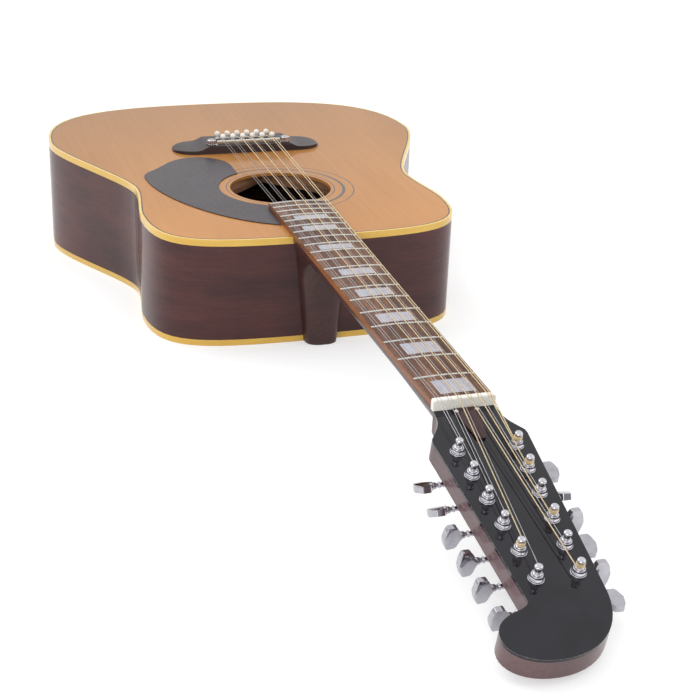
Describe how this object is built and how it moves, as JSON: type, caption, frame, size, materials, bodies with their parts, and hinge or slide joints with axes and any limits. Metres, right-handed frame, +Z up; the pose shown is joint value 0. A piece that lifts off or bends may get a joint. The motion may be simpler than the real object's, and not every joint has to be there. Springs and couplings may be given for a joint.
{
  "type": "acoustic guitar",
  "caption": "Flat-top acoustic guitar with paired strings, scroll headstock, block inlays, black pickguard, adjustable metal saddle and geared tuners that turn.",
  "frame": {"origin": "on the ground plane under the middle of the bounding box, the flat back lying on the ground", "axes": "+Y from the headstock to the tail, +X to the bass side, +Z up out of the soundboard"},
  "size_m": [0.413, 1.0888, 0.1341],
  "materials": {
    "spruce_top": "gloss",
    "mahogany": "gloss",
    "neck_wood": "gloss",
    "rosewood": "satin",
    "inner_wood": "bare",
    "bridge_wood": "satin",
    "binding": "gloss",
    "purfling": "gloss",
    "rosette_lines": "gloss",
    "pickguard_black": "gloss",
    "headstock_black": "gloss",
    "cover_burgundy": "gloss",
    "pin_ivory": "pearl",
    "nut_ivory": "satin",
    "inlay_pearl": "pearl",
    "chrome_parts": "polished",
    "nickel": "polished",
    "steel": "plain",
    "plain_steel_string": "polished",
    "bronze_winding": "polished"
  },
  "bodies": {
    "guitar": {"soundboard": "spruce_top", "sides": "mahogany", "back": "mahogany", "top_binding": "binding", "back_binding": "binding", "top_purfling": "purfling", "rosette": "rosette_lines", "pickguard": "pickguard_black", "linings": "inner_wood", "neck_block": "inner_wood", "tail_block": "inner_wood", "top_braces": "inner_wood", "back_braces": "inner_wood", "bridge_plate": "inner_wood", "bridge": "bridge_wood", "bridge_pins": "pin_ivory", "neck": "neck_wood", "headstock_veneer": "headstock_black", "fretboard": "rosewood", "frets": "nickel", "inlays": "inlay_pearl", "nut": "nut_ivory", "truss_rod": "steel", "truss_rod_cover": "cover_burgundy", "cover_screws": "chrome_parts", "end_pin": "pin_ivory", "plain_strings": "plain_steel_string", "wound_strings": "bronze_winding", "tuner_plates": "chrome_parts", "tuner_ferrules": "chrome_parts", "tuner_screws": "steel"},
    "saddle_screw_treble_body": {"saddle_screw_treble": "chrome_parts"},
    "saddle_screw_bass_body": {"saddle_screw_bass": "chrome_parts"},
    "saddle_body": {"saddle": "nickel"},
    "tuner_button_1_body": {"tuner_button_1": "chrome_parts"},
    "tuner_post_1_body": {"tuner_post_1": "chrome_parts"},
    "tuner_button_2_body": {"tuner_button_2": "chrome_parts"},
    "tuner_post_2_body": {"tuner_post_2": "chrome_parts"},
    "tuner_button_3_body": {"tuner_button_3": "chrome_parts"},
    "tuner_post_3_body": {"tuner_post_3": "chrome_parts"},
    "tuner_button_4_body": {"tuner_button_4": "chrome_parts"},
    "tuner_post_4_body": {"tuner_post_4": "chrome_parts"},
    "tuner_button_5_body": {"tuner_button_5": "chrome_parts"},
    "tuner_post_5_body": {"tuner_post_5": "chrome_parts"},
    "tuner_button_6_body": {"tuner_button_6": "chrome_parts"},
    "tuner_post_6_body": {"tuner_post_6": "chrome_parts"},
    "tuner_button_7_body": {"tuner_button_7": "chrome_parts"},
    "tuner_post_7_body": {"tuner_post_7": "chrome_parts"},
    "tuner_button_8_body": {"tuner_button_8": "chrome_parts"},
    "tuner_post_8_body": {"tuner_post_8": "chrome_parts"},
    "tuner_button_9_body": {"tuner_button_9": "chrome_parts"},
    "tuner_post_9_body": {"tuner_post_9": "chrome_parts"},
    "tuner_button_10_body": {"tuner_button_10": "chrome_parts"},
    "tuner_post_10_body": {"tuner_post_10": "chrome_parts"},
    "tuner_button_11_body": {"tuner_button_11": "chrome_parts"},
    "tuner_post_11_body": {"tuner_post_11": "chrome_parts"},
    "tuner_button_12_body": {"tuner_button_12": "chrome_parts"},
    "tuner_post_12_body": {"tuner_post_12": "chrome_parts"}
  },
  "joints": [
    {"name": "saddle_screw_treble_turn", "type": "hinge", "parent": "guitar", "child": "saddle_screw_treble_body", "pos_m": [-0.041, 0.31968, 0.11658], "axis": [0, -0.0442, 0.999], "range_deg": [0, 772]},
    {"name": "saddle_screw_bass_turn", "type": "hinge", "parent": "guitar", "child": "saddle_screw_bass_body", "pos_m": [0.041, 0.31968, 0.11658], "axis": [0, -0.0442, 0.999], "range_deg": [0, 772]},
    {"name": "saddle_height", "type": "slide", "parent": "guitar", "child": "saddle_body", "axis": [0, -0.0442, 0.999], "range_m": [-0.0015, 0]},
    {"name": "tuner_button_1_turn", "type": "hinge", "parent": "guitar", "child": "tuner_button_1_body", "pos_m": [-0.02105, -0.36847, 0.04917], "axis": [-0.9982, -0.0578, -0.0161], "continuous": true},
    {"name": "tuner_post_1_turn", "type": "hinge", "parent": "guitar", "child": "tuner_post_1_body", "pos_m": [-0.0215, -0.36654, 0.07036], "axis": [0, -0.2678, 0.9635], "continuous": true},
    {"name": "tuner_button_2_turn", "type": "hinge", "parent": "guitar", "child": "tuner_button_2_body", "pos_m": [-0.01959, -0.39187, 0.04266], "axis": [-0.9982, -0.0578, -0.0161], "continuous": true},
    {"name": "tuner_post_2_turn", "type": "hinge", "parent": "guitar", "child": "tuner_post_2_body", "pos_m": [-0.02004, -0.38993, 0.06385], "axis": [0, -0.2678, 0.9635], "continuous": true},
    {"name": "tuner_button_3_turn", "type": "hinge", "parent": "guitar", "child": "tuner_button_3_body", "pos_m": [-0.01813, -0.41526, 0.03616], "axis": [-0.9982, -0.0578, -0.0161], "continuous": true},
    {"name": "tuner_post_3_turn", "type": "hinge", "parent": "guitar", "child": "tuner_post_3_body", "pos_m": [-0.01858, -0.41333, 0.05735], "axis": [0, -0.2678, 0.9635], "continuous": true},
    {"name": "tuner_button_4_turn", "type": "hinge", "parent": "guitar", "child": "tuner_button_4_body", "pos_m": [-0.01667, -0.43865, 0.02966], "axis": [-0.9982, -0.0578, -0.0161], "continuous": true},
    {"name": "tuner_post_4_turn", "type": "hinge", "parent": "guitar", "child": "tuner_post_4_body", "pos_m": [-0.01712, -0.43672, 0.05085], "axis": [0, -0.2678, 0.9635], "continuous": true},
    {"name": "tuner_button_5_turn", "type": "hinge", "parent": "guitar", "child": "tuner_button_5_body", "pos_m": [-0.01521, -0.46204, 0.02316], "axis": [-0.9982, -0.0578, -0.0161], "continuous": true},
    {"name": "tuner_post_5_turn", "type": "hinge", "parent": "guitar", "child": "tuner_post_5_body", "pos_m": [-0.01566, -0.46011, 0.04435], "axis": [0, -0.2678, 0.9635], "continuous": true},
    {"name": "tuner_button_6_turn", "type": "hinge", "parent": "guitar", "child": "tuner_button_6_body", "pos_m": [-0.01375, -0.48544, 0.01665], "axis": [-0.9982, -0.0578, -0.0161], "continuous": true},
    {"name": "tuner_post_6_turn", "type": "hinge", "parent": "guitar", "child": "tuner_post_6_body", "pos_m": [-0.0142, -0.48351, 0.03784], "axis": [0, -0.2678, 0.9635], "continuous": true},
    {"name": "tuner_button_7_turn", "type": "hinge", "parent": "guitar", "child": "tuner_button_7_body", "pos_m": [0.02105, -0.36847, 0.04917], "axis": [0.9982, -0.0578, -0.0161], "continuous": true},
    {"name": "tuner_post_7_turn", "type": "hinge", "parent": "guitar", "child": "tuner_post_7_body", "pos_m": [0.0215, -0.36654, 0.07036], "axis": [0, -0.2678, 0.9635], "continuous": true},
    {"name": "tuner_button_8_turn", "type": "hinge", "parent": "guitar", "child": "tuner_button_8_body", "pos_m": [0.01959, -0.39187, 0.04266], "axis": [0.9982, -0.0578, -0.0161], "continuous": true},
    {"name": "tuner_post_8_turn", "type": "hinge", "parent": "guitar", "child": "tuner_post_8_body", "pos_m": [0.02004, -0.38993, 0.06385], "axis": [0, -0.2678, 0.9635], "continuous": true},
    {"name": "tuner_button_9_turn", "type": "hinge", "parent": "guitar", "child": "tuner_button_9_body", "pos_m": [0.01813, -0.41526, 0.03616], "axis": [0.9982, -0.0578, -0.0161], "continuous": true},
    {"name": "tuner_post_9_turn", "type": "hinge", "parent": "guitar", "child": "tuner_post_9_body", "pos_m": [0.01858, -0.41333, 0.05735], "axis": [0, -0.2678, 0.9635], "continuous": true},
    {"name": "tuner_button_10_turn", "type": "hinge", "parent": "guitar", "child": "tuner_button_10_body", "pos_m": [0.01667, -0.43865, 0.02966], "axis": [0.9982, -0.0578, -0.0161], "continuous": true},
    {"name": "tuner_post_10_turn", "type": "hinge", "parent": "guitar", "child": "tuner_post_10_body", "pos_m": [0.01712, -0.43672, 0.05085], "axis": [0, -0.2678, 0.9635], "continuous": true},
    {"name": "tuner_button_11_turn", "type": "hinge", "parent": "guitar", "child": "tuner_button_11_body", "pos_m": [0.01521, -0.46204, 0.02316], "axis": [0.9982, -0.0578, -0.0161], "continuous": true},
    {"name": "tuner_post_11_turn", "type": "hinge", "parent": "guitar", "child": "tuner_post_11_body", "pos_m": [0.01566, -0.46011, 0.04435], "axis": [0, -0.2678, 0.9635], "continuous": true},
    {"name": "tuner_button_12_turn", "type": "hinge", "parent": "guitar", "child": "tuner_button_12_body", "pos_m": [0.01375, -0.48544, 0.01665], "axis": [0.9982, -0.0578, -0.0161], "continuous": true},
    {"name": "tuner_post_12_turn", "type": "hinge", "parent": "guitar", "child": "tuner_post_12_body", "pos_m": [0.0142, -0.48351, 0.03784], "axis": [0, -0.2678, 0.9635], "continuous": true}
  ],
  "couplings": [
    {"joint": "saddle_screw_treble_turn", "follows": "saddle_height", "rad_per_m": -8976},
    {"joint": "saddle_screw_bass_turn", "follows": "saddle_height", "rad_per_m": -8976},
    {"joint": "tuner_post_1_turn", "follows": "tuner_button_1_turn", "ratio": 0.071429},
    {"joint": "tuner_post_2_turn", "follows": "tuner_button_2_turn", "ratio": 0.071429},
    {"joint": "tuner_post_3_turn", "follows": "tuner_button_3_turn", "ratio": 0.071429},
    {"joint": "tuner_post_4_turn", "follows": "tuner_button_4_turn", "ratio": 0.071429},
    {"joint": "tuner_post_5_turn", "follows": "tuner_button_5_turn", "ratio": 0.071429},
    {"joint": "tuner_post_6_turn", "follows": "tuner_button_6_turn", "ratio": 0.071429},
    {"joint": "tuner_post_7_turn", "follows": "tuner_button_7_turn", "ratio": 0.071429},
    {"joint": "tuner_post_8_turn", "follows": "tuner_button_8_turn", "ratio": 0.071429},
    {"joint": "tuner_post_9_turn", "follows": "tuner_button_9_turn", "ratio": 0.071429},
    {"joint": "tuner_post_10_turn", "follows": "tuner_button_10_turn", "ratio": 0.071429},
    {"joint": "tuner_post_11_turn", "follows": "tuner_button_11_turn", "ratio": 0.071429},
    {"joint": "tuner_post_12_turn", "follows": "tuner_button_12_turn", "ratio": 0.071429}
  ]
}
